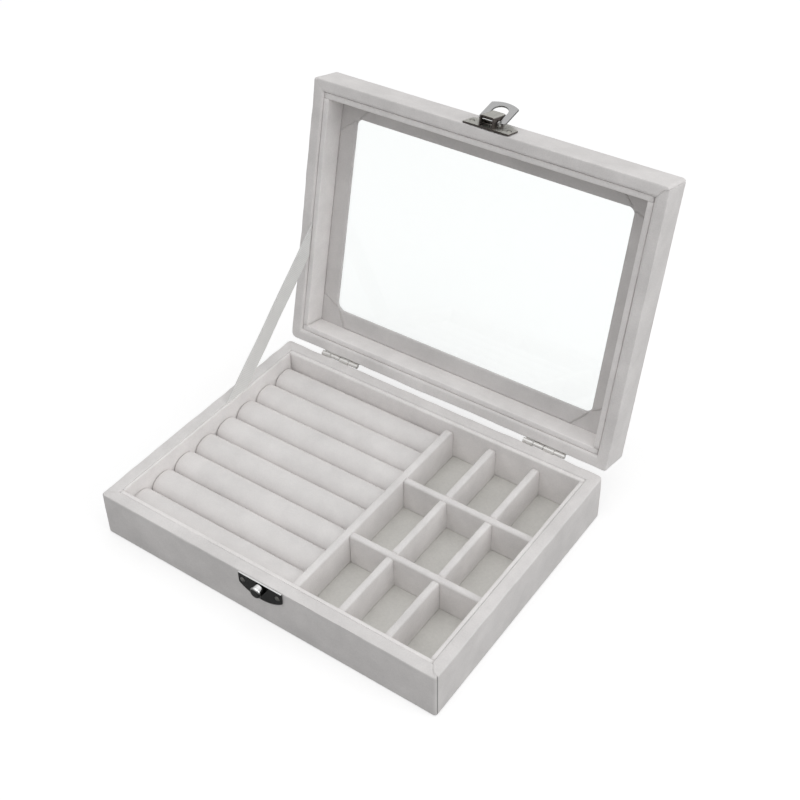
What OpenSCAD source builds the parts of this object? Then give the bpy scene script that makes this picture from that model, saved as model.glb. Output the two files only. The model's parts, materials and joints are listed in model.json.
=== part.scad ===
// Ring display box: a velvet-covered tray with ring rolls, small compartments and a
// hinged lid with a glass window, shown standing open on its ribbon stay.
// Millimetres. X runs to the right, Y to the back, Z up. The origin is the centre of
// the underside. Lid and hasp parts are drawn where they lie on the shut box and are
// then swung open about their own axes.

/* [Case] */
// Outside width, left to right
case_w = 200; // [180:1:240]
// Outside depth, front to back
case_d = 150; // [140:1:180]
// Height of the base
base_h = 26.3; // [25:0.1:32]
// Height of the lid
lid_h = 18.3; // [17:0.1:24]
// Gap between the two rims when the lid is shut
rim_gap = 0.4; // [0.3:0.1:0.8]
// How far the lid stands open, from shut
open_angle = 103.5; // [95:0.5:112]

/* [Boards and velvet] */
// Thickness of the wall boards
board_t = 5; // [4:0.1:7]
// Thickness of the bottom board
bottom_t = 2; // [2:0.5:4]
// Thickness of the glued velvet
velvet_t = 0.8; // [0.6:0.1:1]
// Width of the velvet turned in under the base
turn_in = 12; // [10:1:20]
// Radius of the upright corners
corner_r = 2; // [1.5:0.5:4]
// Radius along the outer edges
edge_r = 0.8; // [0.6:0.1:1.6]
// Radius along the base rim's inner edge
base_inner_r = 0.8; // [0.6:0.1:1.6]
// Radius along the lid rim's inner edge
lid_inner_r = 1.4; // [0.6:0.1:1.6]
// Thickness of the padded liner strips in the base
liner_t = 2.2; // [1.8:0.1:4]
// Thickness of the left one, beside the ring rolls
left_liner_t = 1.2; // [1:0.1:4]
// Thickness of the liner strips in the lid, with the groove behind them
lid_liner_t = 3.2; // [2.6:0.1:4]
// Thickness of the floor lining
floor_t = 0.6; // [0.5:0.1:2]

/* [Ring tray and compartments] */
// Width of the ring tray, from the left liner to the centre divider
tray_w = 104.8; // [90:0.2:112]
// Height of the ring rolls above the floor
roll_h = 15; // [12:0.5:16]
// Height of the dividers above the floor
divider_h = 18.6; // [16:0.1:20]
// Thickness of the centre divider
centre_t = 4.2; // [3:0.2:5]
// Thickness of the row and column dividers
divider_t = 3.8; // [2.6:0.2:4.6]
// Radius of the top corners at the columns' and the centre divider's ends
divider_r = 3; // [2:0.5:5]
// How far both rows lie in front of even spacing
row_shift = 0.8; // [0:0.1:2]

/* [Window] */
// Width of the lid's frame round the window
window_margin = 19.7; // [18:0.1:26]
// Radius of the window's corners
window_r = 4; // [2:0.5:8]
// Thickness of the glass
glass_t = 1.2; // [1:0.1:1.6]
// How far the glass reaches past the window's edge
glass_lap = 4; // [3:0.5:6]
// Thickness of the bezel card under the glass
bezel_t = 0.8; // [0.6:0.1:1.2]

/* [Hinges] */
// Length of each hinge
hinge_len = 24; // [20:1:30]
// Distance of each hinge from the middle of the back
hinge_x = 65; // [45:1:70]
// Radius of the rolled knuckles
knuckle_r = 1.2; // [1.1:0.05:1.3]
// Radius of the hinge pins
pin_r = 0.55; // [0.4:0.05:0.6]
// Height of each leaf, from the axis to its far edge
leaf_h = 10; // [9:0.5:12]

/* [Latch] */
// Middle of the latch along the front
latch_x = 3; // [-5:0.5:5]
// Width of the catch plate and of the hasp plate
latch_w = 25.6; // [24:0.1:28]
// Height of the catch knob's centre
knob_z = 22.6; // [22.5:0.1:23.2]
// Radius of the catch knob
knob_r = 3.1; // [2.6:0.1:3.1]
// Width of the hasp tongue
tongue_w = 15.2; // [14.8:0.2:18]
// Length of the hasp tongue from its axis
tongue_len = 15.4; // [15.4:0.1:17]
// Angle of the folded-back tongue from the lid's front
tongue_tilt = 24; // [20:1:30]

/* [Ribbon stay] */
// Width of the ribbon
ribbon_w = 11; // [8:1:14]
// Where the ribbon leaves the base's rim, behind the middle
ribbon_base_y = 21; // [15:1:30]
// Where the ribbon meets the lid's rim, behind the middle
ribbon_lid_y = 14; // [5:1:20]

/* [Hidden] */
$fn = 64;

// Colours of the materials
velvet = [0.83, 0.82, 0.81];
felt = [0.72, 0.73, 0.7];
board = [0.72, 0.6, 0.45];
nickel = [0.66, 0.66, 0.67];
ribbon_colour = [0.86, 0.86, 0.84];

// Rim and liner, measured inwards from the outer face
rim_w = board_t + 2 * velvet_t;
inner_w = case_w - 2 * rim_w;
inner_d = case_d - 2 * rim_w;
left_x = left_liner_t - inner_w / 2;
right_x = inner_w / 2 - liner_t;
well_d = inner_d - 2 * liner_t;
lid_well_d = inner_d - 2 * lid_liner_t;
board_w = inner_w + 2 * velvet_t;
board_d = inner_d + 2 * velvet_t;
core_w = case_w - 2 * velvet_t;
core_d = case_d - 2 * velvet_t;

// Heights in the base, and in the lid as it lies shut
lining_z = velvet_t + bottom_t;
floor_z = lining_z + floor_t;
liner_top = base_h - 0.6;
lid_z = base_h + rim_gap;
top_z = lid_z + lid_h;
top_board_t = 2.2;
top_board_z = top_z - velvet_t - top_board_t;
bezel_z = top_board_z - bezel_t;
lid_liner_z = lid_z + 1;
lid_groove = 0.5;

// The lid turns about the pins, just behind the back wall and between the rims
hinge_y = case_d / 2 + knuckle_r + 0.05;
hinge_z = base_h + rim_gap / 2;
leaf_t = 0.7;
knuckle_gap = 0.4;
knuckle_len = (hinge_len - 3 * knuckle_gap) / 4;
pin_play = 0.05;

// Dividers: three equal columns, and rows that leave the front cells a little shallower
roll_count = 8;
roll_pitch = well_d / roll_count;
roll_r = roll_pitch / 2 - 0.05;
divider_x0 = left_x + tray_w + centre_t;
cell_w = (right_x - divider_x0 - 2 * divider_t) / 3;
cell_d = (well_d - 2 * divider_t) / 3;
column_x = [for (i = [0, 1]) divider_x0 + (i + 1) * cell_w + (i + 0.5) * divider_t];
row_y = [for (s = [-1, 1]) s * (cell_d + divider_t) / 2 - row_shift];
row_end_r = 1;
liner_edge_r = 0.8;
divider_edge_r = 1.2;
lap_play = 0.1;

// Window, and the glass in its rebate
window_w = case_w - 2 * window_margin;
window_d = case_d - 2 * window_margin;
window_velvet_t = 0.6;
window_step = 1.2;
flap_t = 0.4;
flap_slant = 7;
flap_gap = 0.3;
glass_play = 0.3;

// Latch: sheet thickness, tunnel and tongue, in the front's own plane
plate_t = 0.8;
tunnel_w = 7.8;
tunnel_h = 6.4;
tunnel_t = 0.7;
tunnel_z = [lid_z + 0.4, lid_z + 11.7];
axis_z = lid_z + 5;
axis_out = 2.8;
hasp_pin_r = 0.6;
eye_r = 1.7;
eye_t = 0.9;
tongue_t = 0.9;
slot_w = tunnel_w + 0.7;
slot_end = tongue_len - 2.7;
bar_r = 15.5;
knob_neck_r = 1.8;

// Nails: the same small domed pin everywhere
nail_r = 0.5;
nail_head_r = 1.4;
nail_head_h = 0.6;
nail_len = 3.6;
leaf_nail_x = 7;
leaf_nail_z = 6;
latch_nail_x = 10.4;
catch_nail_z = base_h - 4;
hasp_nail_z = lid_z + 5.4;

// Ribbon: a flat band in the seam between the left wall and its liner
ribbon_t = 0.4;
ribbon_x = -inner_w / 2 + 0.05;
ribbon_tail = 12;
ribbon_lid_tail = 0.8;

// Point of the shut lid after it has swung open, as [y, z]
function swing(y, z) = [
    hinge_y + (y - hinge_y) * cos(open_angle) + (z - hinge_z) * sin(open_angle),
    hinge_z - (y - hinge_y) * sin(open_angle) + (z - hinge_z) * cos(open_angle)];

// Places shut-lid geometry at the open angle
module at_lid() {
    translate([0, hinge_y, hinge_z])
        rotate([-open_angle, 0, 0])
            translate([0, -hinge_y, -hinge_z])
                children();
}

// Front face as a drawing plane: x along the front, y up, z outwards
module on_front() {
    translate([latch_x, -case_d / 2, 0])
        rotate([90, 0, 0])
            children();
}

// Turns a shut-lid drawing upside down, so that base profiles serve the lid too
module upside_down(z) {
    translate([0, 0, z])
        mirror([0, 0, 1])
            children();
}

module rounded_rect(w, d, r) {
    square([w - 2 * r, d], center = true);
    square([w, d - 2 * r], center = true);
    for (x = [-1, 1], y = [-1, 1])
        translate([x * (w / 2 - r), y * (d / 2 - r)])
            circle(r);
}

// Upright outline with its two top corners rounded, standing on y = 0 from x = 0
module arched_outline(w, h, r) {
    square([w, h - r]);
    translate([r, 0])
        square([w - 2 * r, h]);
    for (x = [r, w - r])
        translate([x, h - r])
            circle(r);
}

// Frame of four mitred sides; the child is a profile with x inwards from the outer face
module mitred_frame(w, d, reach, h) {
    for (side = [[w, d, 0], [d, w, 90], [w, d, 180], [d, w, 270]])
        rotate([0, 0, side[2]])
            intersection() {
                translate([-side[0] / 2, -side[1] / 2, 0])
                    rotate([90, 0, 90])
                        linear_extrude(side[0])
                            children();
                linear_extrude(h)
                    polygon([
                        [-side[0] / 2, -side[1] / 2],
                        [side[0] / 2, -side[1] / 2],
                        [side[0] / 2 - reach, -side[1] / 2 + reach],
                        [-side[0] / 2 + reach, -side[1] / 2 + reach]]);
            }
}

// Velvet over a wall: outer face, rim, inner face and the part turned in under the base
module wrap_profile(h, inner_r, tail_z) {
    difference() {
        union() {
            intersection() {
                arched_outline(2 * rim_w, h, edge_r);
                translate([-rim_w, 0])
                    arched_outline(2 * rim_w, h, inner_r);
            }
            square([turn_in, velvet_t]);
        }
        translate([velvet_t, velvet_t])
            square([board_t, h - 2 * velvet_t]);
        translate([velvet_t + board_t, velvet_t])
            square([rim_w, tail_z - velvet_t]);
    }
}

// Nails, head outwards along +Z, driven into the face at z = 0 under a plate
module nail(under) {
    translate([0, 0, under])
        intersection() {
            translate([0, 0, nail_head_h - 2])
                sphere(2);
            cylinder(r = nail_head_r, h = nail_head_h);
        }
    translate([0, 0, under - nail_len])
        cylinder(r = nail_r, h = nail_len);
}

module hinge_nails(up) {
    for (x = [-1, 1], n = [-1, 1])
        translate([x * hinge_x + n * leaf_nail_x, case_d / 2, hinge_z + up * leaf_nail_z])
            rotate([-90, 0, 0])
                nail(leaf_t);
}

module latch_nails(z) {
    on_front()
        for (n = [-1, 1])
            translate([n * latch_nail_x, z, 0])
                nail(plate_t);
}

// Wall boards: the front and back run through, the sides butt between them
module long_wall(h) {
    intersection() {
        translate([-core_w / 2, -core_d / 2, 0])
            cube([core_w, board_t, h]);
        linear_extrude(h)
            rounded_rect(core_w, core_d, corner_r - velvet_t);
    }
}

module short_wall(h) {
    translate([-core_w / 2, -board_d / 2, 0])
        cube([board_t, board_d, h]);
}

module base_front_wall() {
    color(board)
        difference() {
            translate([0, 0, velvet_t])
                long_wall(base_h - 2 * velvet_t);
            latch_nails(catch_nail_z);
        }
}

module base_back_wall() {
    color(board)
        difference() {
            rotate([0, 0, 180])
                translate([0, 0, velvet_t])
                    long_wall(base_h - 2 * velvet_t);
            hinge_nails(-1);
        }
}

module base_left_wall() {
    color(board)
        translate([0, 0, velvet_t])
            short_wall(base_h - 2 * velvet_t);
}

module base_right_wall() {
    rotate([0, 0, 180])
        base_left_wall();
}

module bottom_board() {
    color(board)
        translate([0, 0, velvet_t + bottom_t / 2])
            cube([board_w, board_d, bottom_t], center = true);
}

module bottom_felt() {
    color(felt)
        translate([0, 0, velvet_t / 2])
            cube([case_w - 2 * turn_in, case_d - 2 * turn_in, velvet_t], center = true);
}

module base_wrap() {
    color(velvet)
        difference() {
            intersection() {
                mitred_frame(case_w, case_d, turn_in, base_h)
                    wrap_profile(base_h, base_inner_r, lining_z);
                linear_extrude(base_h)
                    rounded_rect(case_w, case_d, corner_r);
            }
            core_corners(velvet_t, base_h - 2 * velvet_t);
            hinge_nails(-1);
            latch_nails(catch_nail_z);
        }
}

// The boards' own corners, so that velvet and board never share space there
module core_corners(z, h) {
    translate([0, 0, z])
        linear_extrude(h)
            difference() {
                rounded_rect(core_w, core_d, corner_r - velvet_t);
                square([board_w, board_d], center = true);
            }
}

module floor_lining() {
    color(felt)
        translate([0, 0, lining_z + floor_t / 2])
            cube([inner_w, inner_d, floor_t], center = true);
}

// Padded strip along X with a softened top edge, its back to y = 0
module liner_strip(len, t, h) {
    translate([-len / 2, 0, 0])
        rotate([90, 0, 90])
            linear_extrude(len)
                arched_outline(t, h, min(t / 2, liner_edge_r));
}

module base_liner_front() {
    color(velvet)
        translate([0, -inner_d / 2, floor_z])
            liner_strip(inner_w, liner_t, liner_top - floor_z);
}

module base_liner_back() {
    rotate([0, 0, 180])
        base_liner_front();
}

module base_liner_right() {
    color(velvet)
        translate([inner_w / 2, 0, floor_z])
            rotate([0, 0, 90])
                liner_strip(well_d, liner_t, liner_top - floor_z);
}

// The left strip is thinner, and relieved behind for the end of the ribbon glued there
module base_liner_left() {
    relief_d = 40;
    relief_h = 14;
    color(velvet)
        difference() {
            translate([-inner_w / 2, 0, floor_z])
                rotate([0, 0, 270])
                    liner_strip(well_d, left_liner_t, liner_top - floor_z);
            translate([-inner_w / 2 - 1, ribbon_base_y - 0.6 * relief_d, base_h - relief_h])
                cube([1 + ribbon_t + 0.1, relief_d, relief_h + 1]);
        }
}

// Board along X, standing on z = 0, with softened top edges and rounded top corners
module divider(len, t, end_r) {
    intersection() {
        translate([-len / 2, t / 2, 0])
            rotate([90, 0, 0])
                linear_extrude(t)
                    arched_outline(len, divider_h, end_r);
        translate([-len / 2, -t / 2, 0])
            rotate([90, 0, 90])
                linear_extrude(len)
                    arched_outline(t, divider_h, divider_edge_r);
    }
}

module centre_divider() {
    color(velvet)
        translate([divider_x0 - centre_t / 2, 0, floor_z])
            rotate([0, 0, 90])
                divider(well_d, centre_t, divider_r);
}

// Row dividers run through on top and are slotted from below
module row_divider(y) {
    len = right_x - divider_x0;
    color(velvet)
        difference() {
            translate([divider_x0 + len / 2, y, floor_z])
                divider(len, divider_t, row_end_r);
            for (x = column_x)
                translate([x, y, floor_z])
                    cube([divider_t + lap_play, 2 * divider_t, divider_h], center = true);
        }
}

// Column dividers are slotted from above, and the slots' mouths are eased
module column_divider(x) {
    slot = divider_t + lap_play;
    ease = 1;
    color(velvet)
        difference() {
            translate([x, 0, floor_z])
                rotate([0, 0, 90])
                    divider(well_d, divider_t, divider_r);
            for (y = row_y)
                translate([x - divider_t, y, floor_z])
                    rotate([90, 0, 90])
                        linear_extrude(2 * divider_t) {
                            translate([-slot / 2, divider_h / 2])
                                square([slot, divider_h]);
                            for (m = [0, 1])
                                mirror([m, 0])
                                    translate([slot / 2, divider_h - ease])
                                        difference() {
                                            square([ease, 2 * ease]);
                                            translate([ease, 0])
                                                circle(ease);
                                        }
                        }
        }
}

module row_divider_front() {
    row_divider(row_y[0]);
}

module row_divider_back() {
    row_divider(row_y[1]);
}

module column_divider_left() {
    column_divider(column_x[0]);
}

module column_divider_right() {
    column_divider(column_x[1]);
}

// Foam roll under velvet: a round crown on a drawn-in foot, softened at both ends.
// Roll 1 is at the front.
module ring_roll(i) {
    len = tray_w - 0.2;
    color(velvet)
        translate([left_x + 0.1, -well_d / 2 + (i - 0.5) * roll_pitch, floor_z])
            intersection() {
                rotate([90, 0, 90])
                    linear_extrude(len)
                        difference() {
                            union() {
                                translate([0, roll_h - roll_r])
                                    circle(roll_r);
                                translate([1 - roll_r, 0])
                                    square([2 * roll_r - 2, roll_h - roll_r]);
                            }
                            translate([-roll_r, -roll_r])
                                square([2 * roll_r, roll_r]);
                        }
                translate([0, roll_r, 0])
                    rotate([90, 0, 0])
                        linear_extrude(2 * roll_r)
                            arched_outline(len, roll_h, 2.5);
            }
}

// Knuckles k of four, and the tab that joins each to its leaf below
module knuckles(ks) {
    for (k = ks)
        translate([-hinge_len / 2 + k * (knuckle_len + knuckle_gap), 0, 0]) {
            rotate([0, 90, 0])
                cylinder(r = knuckle_r, h = knuckle_len);
            translate([0, case_d / 2 - hinge_y, -leaf_h / 2])
                cube([knuckle_len, leaf_t, leaf_h / 2]);
        }
}

// Hinge leaf hanging down from its axis along X, against the back face
module hinge_leaf(ks) {
    clear = knuckle_r + 0.35;
    difference() {
        union() {
            knuckles(ks);
            translate([0, case_d / 2 - hinge_y + leaf_t, -(leaf_h + clear) / 2])
                rotate([90, 0, 0])
                    linear_extrude(leaf_t)
                        rounded_rect(hinge_len, leaf_h - clear, 1);
        }
        rotate([0, 90, 0])
            cylinder(r = pin_r + pin_play, h = 2 * hinge_len, center = true);
        for (n = [-1, 1])
            translate([n * leaf_nail_x, case_d / 2 - hinge_y, -leaf_nail_z])
                rotate([-90, 0, 0])
                    cylinder(r = nail_r, h = 3 * leaf_t, center = true);
    }
}

module base_leaf(x) {
    color(nickel)
        translate([x, hinge_y, hinge_z])
            hinge_leaf([0, 2]);
}

module lid_leaf(x) {
    color(nickel)
        at_lid()
            translate([x, hinge_y, hinge_z])
                mirror([0, 0, 1])
                    hinge_leaf([1, 3]);
}

module hinge_pin(x) {
    color(nickel)
        translate([x, hinge_y, hinge_z])
            rotate([0, 90, 0])
                cylinder(r = pin_r, h = hinge_len + 0.6, center = true);
}

module hinge_left_base_leaf() {
    base_leaf(-hinge_x);
}

module hinge_right_base_leaf() {
    base_leaf(hinge_x);
}

module hinge_left_lid_leaf() {
    lid_leaf(-hinge_x);
}

module hinge_right_lid_leaf() {
    lid_leaf(hinge_x);
}

module hinge_left_pin() {
    hinge_pin(-hinge_x);
}

module hinge_right_pin() {
    hinge_pin(hinge_x);
}

module hinge_base_nails() {
    color(nickel)
        hinge_nails(-1);
}

module hinge_lid_nails() {
    color(nickel)
        at_lid()
            hinge_nails(1);
}

// Catch plate: two wings with a curved lower edge
module catch_plate() {
    wing_r = 20;
    low_z = base_h - 11.1;
    top_z_gap = 0.2;
    color(nickel)
        difference() {
            on_front()
                linear_extrude(plate_t)
                    difference() {
                        intersection() {
                            translate([-latch_w / 2, low_z])
                                square([latch_w, base_h - top_z_gap - low_z]);
                            translate([0, low_z + wing_r])
                                circle(wing_r, $fn = 128);
                        }
                        translate([0, knob_z])
                            circle(knob_neck_r);
                    }
            latch_nails(catch_nail_z);
        }
}

// Catch knob: a button with a softly rounded face on a short neck, riveted through the plate
module catch_knob() {
    neck = 0.5;
    button_h = 3.5;
    face_r = 1.2;
    color(nickel)
        on_front()
            translate([0, knob_z, 0]) {
                cylinder(r = knob_neck_r, h = plate_t + neck);
                translate([0, 0, plate_t + neck])
                    rotate_extrude()
                        intersection() {
                            translate([-knob_r, 0])
                                arched_outline(2 * knob_r, button_h, face_r);
                            square([knob_r, button_h]);
                        }
            }
}

module catch_nails() {
    color(nickel)
        latch_nails(catch_nail_z);
}

// Ribbon: glued behind the left liner and stretched to the groove round the lid's well
module ribbon_stay() {
    foot = [ribbon_base_y, base_h];
    head = swing(ribbon_lid_y, lid_z);
    along = (head - foot) / norm(head - foot);
    half = [-along[1], along[0]] * ribbon_w / 2;
    low = foot - along * ribbon_tail;
    high = head + along * ribbon_w;
    color(ribbon_colour)
        difference() {
            translate([ribbon_x, 0, 0])
                rotate([90, 0, 90])
                    linear_extrude(ribbon_t)
                        polygon([low - half, high - half, high + half, low + half]);
            at_lid()
                translate([ribbon_x - 5, ribbon_lid_y - 50, lid_z + ribbon_lid_tail])
                    cube([10, 100, 60]);
        }
}

// Lid, drawn shut: its walls hang from the top board round the window
module lid_front_wall() {
    color(board)
        at_lid()
            difference() {
                translate([0, 0, lid_z + velvet_t])
                    long_wall(lid_h - 2 * velvet_t);
                latch_nails(hasp_nail_z);
            }
}

module lid_back_wall() {
    color(board)
        at_lid()
            difference() {
                rotate([0, 0, 180])
                    translate([0, 0, lid_z + velvet_t])
                        long_wall(lid_h - 2 * velvet_t);
                hinge_nails(1);
            }
}

module lid_left_wall() {
    color(board)
        at_lid()
            translate([0, 0, lid_z + velvet_t])
                short_wall(lid_h - 2 * velvet_t);
}

module lid_right_wall() {
    color(board)
        at_lid()
            rotate([0, 0, 180])
                translate([0, 0, lid_z + velvet_t])
                    short_wall(lid_h - 2 * velvet_t);
}

// Window opening, grown by a margin on every side
module window_plan(grow) {
    rounded_rect(window_w + 2 * grow, window_d + 2 * grow, window_r + grow);
}

module lid_top_board() {
    color(board)
        at_lid()
            translate([0, 0, top_board_z])
                difference() {
                    translate([0, 0, top_board_t / 2])
                        cube([board_w, board_d, top_board_t], center = true);
                    translate([0, 0, -1])
                        linear_extrude(top_board_t + 2)
                            window_plan(window_step + window_velvet_t);
                    translate([0, 0, -1])
                        linear_extrude(glass_t + 1)
                            square([window_w + 2 * glass_lap, window_d + 2 * glass_lap], center = true);
                }
}

// Velvet over the lid: rim, sides and top, turned down at the window as far as the glass
module lid_wrap() {
    color(velvet)
        at_lid()
            difference() {
                intersection() {
                    union() {
                        upside_down(top_z)
                            mitred_frame(case_w, case_d, turn_in, lid_h)
                                lid_wrap_profile();
                        translate([0, 0, top_board_z + glass_t])
                            linear_extrude(top_z - top_board_z - glass_t)
                                window_plan(window_step + window_velvet_t);
                        translate([0, 0, top_z - velvet_t])
                            linear_extrude(velvet_t)
                                square([board_w, board_d], center = true);
                    }
                    translate([0, 0, lid_z])
                        linear_extrude(lid_h)
                            rounded_rect(case_w, case_d, corner_r);
                }
                translate([0, 0, lid_z])
                    linear_extrude(lid_h + 1)
                        window_plan(window_step);
                core_corners(lid_z + velvet_t, lid_h - 2 * velvet_t);
                hinge_nails(1);
                latch_nails(hasp_nail_z);
            }
}

// As the base's, standing on its top face, which is softened along its outer edge
module lid_wrap_profile() {
    intersection() {
        wrap_profile(lid_h, lid_inner_r, top_z - top_board_z);
        union() {
            translate([0, edge_r])
                square([2 * turn_in, lid_h]);
            translate([edge_r, 0])
                square([2 * turn_in, lid_h]);
            translate([edge_r, edge_r])
                circle(edge_r);
        }
    }
}

module window_glass() {
    color([0.8, 0.88, 0.88, 0.35])
        at_lid()
            translate([0, 0, top_board_z + glass_t / 2])
                cube([window_w + 2 * glass_lap - 2 * glass_play,
                    window_d + 2 * glass_lap - 2 * glass_play, glass_t], center = true);
}

// Card under the glass, with the velvet's four flaps turned back over it from the window
module window_bezel() {
    color(velvet)
        at_lid()
            difference() {
                union() {
                    translate([0, 0, bezel_z])
                        linear_extrude(bezel_t)
                            square([inner_w, inner_d], center = true);
                    translate([0, 0, bezel_z - flap_t])
                        linear_extrude(flap_t + 0.01)
                            for (turn = [0, 90, 180, 270])
                                rotate(turn)
                                    window_flap(turn % 180 == 0);
                }
                translate([0, 0, bezel_z - 1])
                    linear_extrude(bezel_t + 2)
                        window_plan(0);
            }
}

// Flap at the front or right of the window, its ends cut back towards the liners
module window_flap(along_front) {
    half = (along_front ? window_w : window_d) / 2;
    near = (along_front ? window_d : window_w) / 2;
    far = (along_front ? inner_d : inner_w) / 2 - lid_liner_t;
    polygon([[flap_gap - half, -near], [half - flap_gap, -near],
        [half - flap_slant, -far], [flap_slant - half, -far]]);
}

// Liner strip along the front of a well that deep, a groove away from the wall
module lid_liner_strip(len, depth) {
    translate([0, lid_groove - depth / 2, 0])
        liner_strip(len - 2 * lid_groove, lid_liner_t - lid_groove, bezel_z - lid_liner_z);
}

module lid_liner_front() {
    color(velvet)
        at_lid()
            upside_down(bezel_z)
                lid_liner_strip(inner_w, inner_d);
}

module lid_liner_back() {
    color(velvet)
        at_lid()
            upside_down(bezel_z)
                rotate([0, 0, 180])
                    lid_liner_strip(inner_w, inner_d);
}

module lid_liner_left() {
    color(velvet)
        at_lid()
            upside_down(bezel_z)
                rotate([0, 0, 270])
                    lid_liner_strip(lid_well_d + 2 * lid_groove, inner_w);
}

module lid_liner_right() {
    color(velvet)
        at_lid()
            upside_down(bezel_z)
                rotate([0, 0, 90])
                    lid_liner_strip(lid_well_d + 2 * lid_groove, inner_w);
}

// Hasp plate: a pointed plate with a folded tunnel that carries the tongue's pin
module hasp_plate() {
    foot_z = lid_z + 0.4;
    shoulder_z = lid_z + 9.6;
    crown_z = lid_z + 14.4;
    crown_w = 11;
    fold_r = 0.9;
    tunnel_len = tunnel_z[1] - tunnel_z[0];
    color(nickel)
        at_lid()
            difference() {
                on_front() {
                    linear_extrude(plate_t)
                        polygon([[-latch_w / 2, foot_z], [latch_w / 2, foot_z],
                            [latch_w / 2, shoulder_z], [crown_w / 2, crown_z],
                            [-crown_w / 2, crown_z], [-latch_w / 2, shoulder_z]]);
                    translate([0, tunnel_z[1], 0])
                        rotate([90, 0, 0])
                            linear_extrude(tunnel_len)
                                difference() {
                                    translate([-tunnel_w / 2, 0])
                                        arched_outline(tunnel_w, tunnel_h, fold_r);
                                    translate([-tunnel_w / 2 + tunnel_t, plate_t])
                                        arched_outline(tunnel_w - 2 * tunnel_t,
                                            tunnel_h - tunnel_t - plate_t, fold_r - tunnel_t / 2);
                                }
                }
                on_front()
                    translate([0, axis_z, axis_out])
                        rotate([0, 90, 0])
                            cylinder(r = hasp_pin_r + pin_play, h = 2 * tunnel_w, center = true);
                latch_nails(hasp_nail_z);
            }
}

// Leaf spring in the tunnel: it lies on the plate, then folds back above the pin
module hasp_spring() {
    strip_t = 0.35;
    low = plate_t;
    high = axis_out + hasp_pin_r + 0.3;
    back = tunnel_z[1] - 0.6;
    front = tunnel_z[0] + 0.8;
    color(nickel)
        at_lid()
            on_front()
                translate([-(tunnel_w - 2 * tunnel_t) / 2 + 0.3, 0, 0])
                    rotate([0, 90, 0])
                        rotate([0, 0, 90])
                            linear_extrude(tunnel_w - 2 * tunnel_t - 0.6)
                                polygon([
                                    [axis_z + 1.5, low],
                                    [back, low],
                                    [back, high + strip_t],
                                    [front + 1, high + strip_t],
                                    [front, high + strip_t + 0.8],
                                    [front - 0.2, high + strip_t + 0.5],
                                    [front + 0.8, high],
                                    [back - strip_t, high],
                                    [back - strip_t, low + strip_t],
                                    [axis_z + 1.5, low + strip_t]]);
}

module hasp_nails() {
    color(nickel)
        at_lid()
            latch_nails(hasp_nail_z);
}

// Hasp parts, drawn hanging from the pin over the knob and folded back from there
module at_hasp() {
    at_lid()
        on_front()
            translate([0, axis_z, axis_out])
                rotate([tongue_tilt - 180, 0, 0])
                    children();
}

// Tongue: two arms joined by a bar with a curved end, and two ears bent up beside the
// tunnel that ride on the pin
module hasp_tongue() {
    ear_w = slot_w + 2 * eye_t;
    shoulder_r = 3.3;
    color(nickel)
        at_hasp()
            difference() {
                union() {
                    translate([0, 0, -tongue_t / 2])
                        linear_extrude(tongue_t)
                            intersection() {
                                translate([-tongue_w / 2, -tongue_len])
                                    arched_outline(tongue_w, tongue_len + 1, shoulder_r);
                                translate([0, bar_r - tongue_len])
                                    circle(bar_r, $fn = 128);
                            }
                    rotate([0, 90, 0])
                        cylinder(r = eye_r, h = ear_w, center = true);
                }
                translate([0, 0, -eye_r - 1])
                    linear_extrude(2 * eye_r + 2) {
                        translate([-slot_w / 2, slot_w / 2 - slot_end])
                            square([slot_w, slot_end - slot_w / 2 + eye_r + 1]);
                        translate([0, slot_w / 2 - slot_end])
                            circle(slot_w / 2);
                    }
                rotate([0, 90, 0])
                    cylinder(r = hasp_pin_r, h = 2 * tongue_w, center = true);
            }
}

module hasp_pin() {
    color(nickel)
        at_hasp()
            rotate([0, 90, 0])
                cylinder(r = hasp_pin_r, h = slot_w + 2 * eye_t + 0.6, center = true);
}

bottom_board();
bottom_felt();
base_front_wall();
base_back_wall();
base_left_wall();
base_right_wall();
base_wrap();
floor_lining();
base_liner_front();
base_liner_back();
base_liner_left();
base_liner_right();
centre_divider();
row_divider_front();
row_divider_back();
column_divider_left();
column_divider_right();
ring_roll(1);  // ring_roll_1
ring_roll(2);  // ring_roll_2
ring_roll(3);  // ring_roll_3
ring_roll(4);  // ring_roll_4
ring_roll(5);  // ring_roll_5
ring_roll(6);  // ring_roll_6
ring_roll(7);  // ring_roll_7
ring_roll(8);  // ring_roll_8
hinge_left_base_leaf();
hinge_right_base_leaf();
hinge_left_pin();
hinge_right_pin();
hinge_base_nails();
catch_plate();
catch_knob();
catch_nails();
ribbon_stay();
lid_front_wall();
lid_back_wall();
lid_left_wall();
lid_right_wall();
lid_top_board();
lid_wrap();
window_glass();
window_bezel();
lid_liner_front();
lid_liner_back();
lid_liner_left();
lid_liner_right();
hinge_left_lid_leaf();
hinge_right_lid_leaf();
hinge_lid_nails();
hasp_plate();
hasp_spring();
hasp_nails();
hasp_tongue();
hasp_pin();
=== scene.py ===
"""Looks of a velvet-covered ring display box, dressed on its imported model.

Lengths are in millimetres until a mesh is made, and in metres in Blender. The lid's
pieces are drawn on the shut box and swung open about the hinge axis.
"""

import json
import math

import bmesh
import bpy
import numpy as np
from mathutils import Matrix, Vector, noise

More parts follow.
